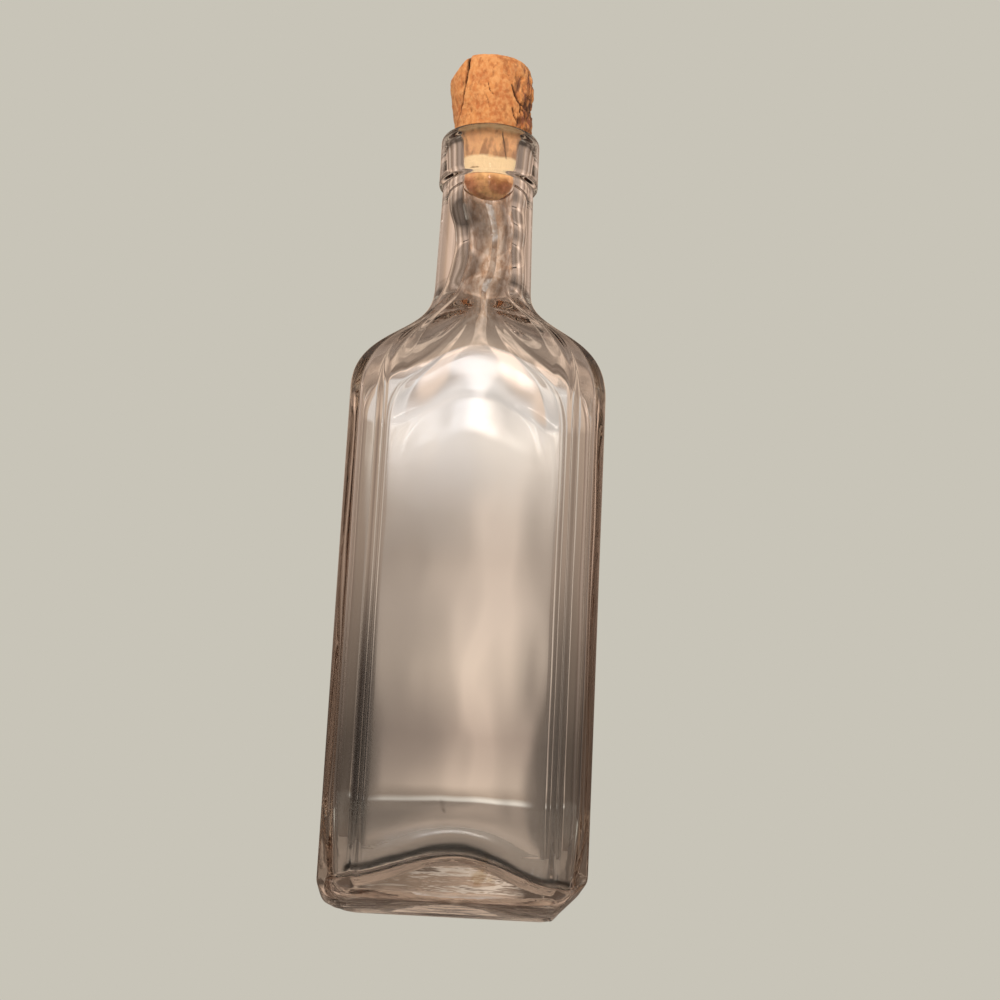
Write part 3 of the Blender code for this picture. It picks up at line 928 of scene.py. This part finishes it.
# Pale floor that shows from above only, so that the low camera looks past it, and fades into the backdrop
# far away; a painted shadow where the glass stands on it, and painted shade in the room's brown tones, darker
# to the sides, for the rays that the glass bends down to it behind the bottle.
def makeFloor():
    material, tree = newMaterial("paleFloor")
    path = addNode(tree, "LightPath").outputs
    parts = placeParts(tree)
    across, along = (calculate(tree, "ABSOLUTE", parts[axis]) for axis in "XY")
    sized = stretchedPlace(tree, (1 / glass["halfWidth"], 1 / glass["halfDepth"], 0))
    contactShadow = stepped(tree, lengthOf(tree, sized), *floor["contactShadow"])
    sideways = calculate(tree, "MULTIPLY_ADD", along, -floor["besideWidening"], across)
    away = addRamp(tree, moved(tree, along, 0.0, floor["rampReach"]), floor["throughGlass"])
    # painted shade, darker to the sides, for rays the glass bends down to the floor
    brown = mixColours(tree, stepped(tree, sideways, *floor["besideFrom"]), away, floor["shadeBeside"])
    behind = stepped(tree, parts["Y"], *floor["brownBehind"])
    nearby = stepped(tree, calculate(tree, "SUBTRACT", across, along), *floor["paleAbeam"])
    bent = product(tree, bentRay(tree, path), product(tree, behind, nearby))
    # painted shadow under the bottle, and painted shade of the room for bent rays
    tone = mixColours(tree, contactShadow, floor["paintedShadow"], mixColours(tree, bent, backdrop, brown))
    matte = addNode(tree, "BsdfPrincipled", Base_Color=tone, Roughness=floor["roughness"])
    clear = addNode(tree, "BsdfTransparent")
    reach = lengthOf(tree, addNode(tree, "TexCoord").outputs["Object"])
    faded = product(tree, stepped(tree, reach, *floor["fadeOut"]), path["Is Camera Ray"])
    below = addNode(tree, "NewGeometry").outputs["Backfacing"]
    mix = addNode(tree, "MixShader", i0=calculate(tree, "MAXIMUM", below, faded),
                  i1=matte.outputs["BSDF"], i2=clear.outputs["BSDF"])
    addNode(tree, "OutputMaterial", Surface=mix.outputs["Shader"])
    mesh = bpy.data.meshes.new("studioFloor")
    corners = [(x * floor["reach"], y * floor["reach"], floor["height"])
               for x, y in ((-1, -1), (1, -1), (1, 1), (-1, 1))]
    mesh.from_pydata(corners, [], [(0, 1, 2, 3)])
    mesh.materials.append(material)
    plane = bpy.data.objects.new("studioFloor", mesh)
    bpy.context.scene.collection.objects.link(plane)


# Round soft light at a place, turned to its aim.
def addLamp(name, place, aim, size, watts, colour):
    data = bpy.data.lights.new(name, "AREA")
    data.shape = "DISK"
    data.size = size
    data.energy = watts
    data.color = colour
    lamp = bpy.data.objects.new(name, data)
    lamp.visible_glossy = False
    lamp.visible_transmission = False
    lamp.location = place
    lamp.rotation_euler = (Vector(aim) - Vector(place)).to_track_quat("-Z", "Y").to_euler()
    bpy.context.scene.collection.objects.link(lamp)


keyLight = {
    "place": (-0.16, -0.68, 0.62),
    "aim": (0, 0, 0.12),
    "size": 0.30,
    "watts": 5.0,
    "colour": (1.0, 0.97, 0.93),
}
# The room by X, Y and Z of a ray's direction: lists hold stops (place, tone), pairs are the start and end of
# a step, and fours the limits of a band.
room = {
    "behindByHeight": [
        (0.00, (0.34, 0.26, 0.20)), (0.108, (0.34, 0.26, 0.20)), (0.112, (0.95, 0.86, 0.74)),
        (0.119, (0.95, 0.86, 0.74)), (0.123, (0.46, 0.35, 0.26)), (0.150, (0.64, 0.50, 0.39)),
        (0.175, (0.50, 0.38, 0.30)), (0.205, (0.72, 0.58, 0.46)), (0.228, (0.84, 0.68, 0.55)),
        (0.252, (0.78, 0.63, 0.51)), (0.275, (0.80, 0.66, 0.54)), (0.300, (0.80, 0.69, 0.58)),
        (0.315, (0.70, 0.62, 0.55)), (0.346, (0.66, 0.60, 0.55)), (0.357, (0.34, 0.25, 0.19)),
        (0.42, (0.44, 0.33, 0.25)), (0.55, (0.74, 0.57, 0.44)), (0.80, (0.62, 0.48, 0.37))],
    "acrossSpan": (-0.03, 0.07),
    "behindAcross": [(0.0, 0.50), (0.24, 0.54), (0.42, 0.74), (0.54, 1.0), (0.64, 1.0), (0.76, 0.72),
                     (0.88, 0.42), (1.0, 0.32)],
    "acrossUneven": 0.05,
    "evenAbove": (0.27, 0.31),
    "middle": 0.015,
    "halfWidths": (0.0215, 0.0325),
    "widening": 0.05,
    "patchScale": 16.0,
    "patchStrength": 0.20,
    "sides": [(0.10, (0.44, 0.33, 0.25)), (0.25, (0.30, 0.21, 0.155)), (0.42, (0.44, 0.33, 0.26)),
              (0.56, (0.66, 0.51, 0.41)), (0.68, (0.36, 0.26, 0.19)), (0.82, (0.42, 0.32, 0.26)),
              (1.0, (0.20, 0.14, 0.10))],
    "sidesByHeight": [(0.00, 0.40), (0.50, 0.34), (0.585, 0.24), (0.605, 0.46), (0.625, 0.78), (0.655, 1.0),
                      (0.67, 1.35), (0.70, 1.5), (0.703, 2.0), (0.716, 1.8), (0.73, 0.9), (1.0, 0.5)],
    "dimBeyond": (0.68, 0.74),
    "dimHeights": (0.400, 0.404, 0.418, 0.424),
    "dimmed": 0.14,
    "paleBeyond": (0.95, 0.985),
    "paleBelow": (0.09, 0.05),
    "inFront": (0.1, -0.3),
    "front": (0.36, 0.31, 0.265, 1),
    "cloudScale": 3.4,
    "cloudStrength": 0.40,
    "windowByHeight": [(0.318, 0.0), (0.325, 0.30), (0.331, 1.0), (0.341, 1.0), (0.351, 0.0)],
    "windowAcross": (-0.028, -0.008, 0.048, 0.066),
    "windowStrength": 3.0,
    "haloByHeight": [(0.250, 0.0), (0.270, 0.12), (0.290, 0.55), (0.303, 0.80), (0.315, 0.75), (0.345, 1.0),
                     (0.362, 0.0)],
    "haloAcross": (-0.052, -0.010, 0.035, 0.080),
    "haloStrength": 2.3,
    "glow": (0.025, 0.333),
    "glowReach": (0.026, 0.016),
    "glowStrength": 4.6,
    "glowLeft": (0.86, 0.92, 1.0, 1),
    "glowRight": (1.0, 0.97, 0.92, 1),
    "glowTurn": (0.0, 0.03),
    "soft": (0.60, 0.58, 0.55, 1),
    "insideSoft": 5.0,
}


# Noise over the directions, and a level that varies with it, around 1 by a strength.
def unevenLevel(tree, direction, scale, detail, strength):
    noise = addNode(tree, "TexNoise", Vector=direction, Scale=scale, Detail=detail).outputs["Fac"]
    return noise, moved(tree, noise, 0.3, 0.7, 1 - strength, 1 + strength)


# Colour of the room for rays that the glass bends or mirrors: pale behind, brown and uneven to the sides.
def roomColour(tree, direction, parts):
    across = calculate(tree, "ABSOLUTE", parts["X"])
    patches, patchy = unevenLevel(tree, direction, room["patchScale"], 1.0, room["patchStrength"])
    place = calculate(tree, "MULTIPLY_ADD", patches, room["acrossUneven"], parts["X"])
    place = moved(tree, place, *(end + room["acrossUneven"] / 2 for end in room["acrossSpan"]))
    even = stepped(tree, parts["Z"], *room["evenAbove"])
    shading = mixColours(tree, even, addLevels(tree, place, room["behindAcross"]), (1, 1, 1, 1))
    behind = scaledColour(tree, addRamp(tree, parts["Z"], room["behindByHeight"]), patchy)
    behind = colourProduct(tree, behind, shading)
    levels = addLevels(tree, moved(tree, parts["Z"], -1.0, 1.0), room["sidesByHeight"])
    beside = colourProduct(tree, addRamp(tree, across, room["sides"]), levels)
    dim = product(tree, stepped(tree, across, *room["dimBeyond"]), band(tree, parts["Z"], room["dimHeights"]))
    beside = scaledColour(tree, beside, moved(tree, dim, 0.0, 1.0, 1.0, room["dimmed"]))
    low = stepped(tree, parts["Z"], *room["paleBelow"])
    pale = product(tree, stepped(tree, across, *room["paleBeyond"]), low)
    beside = mixColours(tree, pale, beside, backdrop)
    centred = calculate(tree, "ABSOLUTE", calculate(tree, "SUBTRACT", parts["X"], room["middle"]))
    narrowed = calculate(tree, "MULTIPLY_ADD", parts["Z"], -room["widening"], centred)
    rear = mixColours(tree, stepped(tree, narrowed, *room["halfWidths"]), behind, beside)
    whole = mixColours(tree, stepped(tree, parts["Y"], *room["inFront"]), rear, room["front"])
    cloudy = unevenLevel(tree, direction, room["cloudScale"], 3.0, room["cloudStrength"])[1]
    return scaledColour(tree, whole, cloudy)


# Round soft lamp: full in its middle, fading to nothing at its reach.
def lampLevel(tree, parts, middle, reach, strength):
    squares = []
    for axis, centre, size in zip("XZ", middle, reach):
        offset = calculate(tree, "DIVIDE", calculate(tree, "SUBTRACT", parts[axis], centre), size)
        squares.append(product(tree, offset, offset))
    return addNode(tree, "MapRange", interpolation_type="SMOOTHERSTEP", From_Min=1.0, From_Max=0.0,
                   Value=calculate(tree, "ADD", *squares), To_Max=strength).outputs[0]


# Light of a window in front, seen only in gloss and through glass: a soft oblong, a halo below it and a core.
def windowLevel(tree, parts):
    total = lampLevel(tree, parts, room["glow"], room["glowReach"], room["glowStrength"])
    for name in ("window", "halo"):
        tall = addLevels(tree, parts["Z"], room[name + "ByHeight"])
        wide = band(tree, parts["X"], room[name + "Across"])
        level = product(tree, product(tree, tall, wide), room[name + "Strength"])
        total = calculate(tree, "ADD", total, level)
    return product(tree, total, calculate(tree, "LESS_THAN", parts["Y"], 0.0))


# Studio surroundings: plain for the camera, the room for glass and gloss, soft even light for all else. Light
# that reaches the cork through the glass makes up for the lamp, which the glass keeps from it.
def makeWorld():
    world = bpy.data.worlds.new("studio")
    bpy.context.scene.world = world
    world.use_nodes = True
    tree = world.node_tree
    tree.nodes.clear()
    direction = addNode(tree, "TexCoord").outputs["Generated"]
    parts = addNode(tree, "SeparateXYZ", Vector=direction).outputs
    path = addNode(tree, "LightPath").outputs
    bent = bentRay(tree, path)
    inGlass = product(tree, bent, calculate(tree, "GREATER_THAN", path["Diffuse Depth"], 0.5))
    toRight = moved(tree, parts["X"], *room["glowTurn"])
    lights = {
        "room": (roomColour(tree, direction, parts), 1.0),
        "window": (mixColours(tree, toRight, room["glowLeft"], room["glowRight"]), windowLevel(tree, parts)),
        "soft": (room["soft"], moved(tree, inGlass, 0.0, 1.0, 1.0, room["insideSoft"])),
        "plain": (backdrop, 1.0),
    }
    light = {name: addNode(tree, "Background", Color=colour, Strength=strength).outputs[0]
             for name, (colour, strength) in lights.items()}
    seen = addNode(tree, "AddShader", i0=light["room"], i1=light["window"]).outputs[0]
    direct = calculate(tree, "SUBTRACT", bent, inGlass)
    unseen = addNode(tree, "MixShader", i0=direct, i1=light["soft"], i2=seen).outputs[0]
    whole = addNode(tree, "MixShader", i0=path["Is Camera Ray"], i1=unseen, i2=light["plain"])
    addNode(tree, "OutputWorld", Surface=whole.outputs[0])


makeCamera()
makeFloor()
makeWorld()
addLamp("keyLight", **keyLight)
bpy.context.scene.view_settings.view_transform = "Standard"
for limit in ("max_bounces", "glossy_bounces", "transmission_bounces"):
    setattr(bpy.context.scene.cycles, limit, 24)  # thick glass mirrors a ray many times inside
print("scene: stage set")
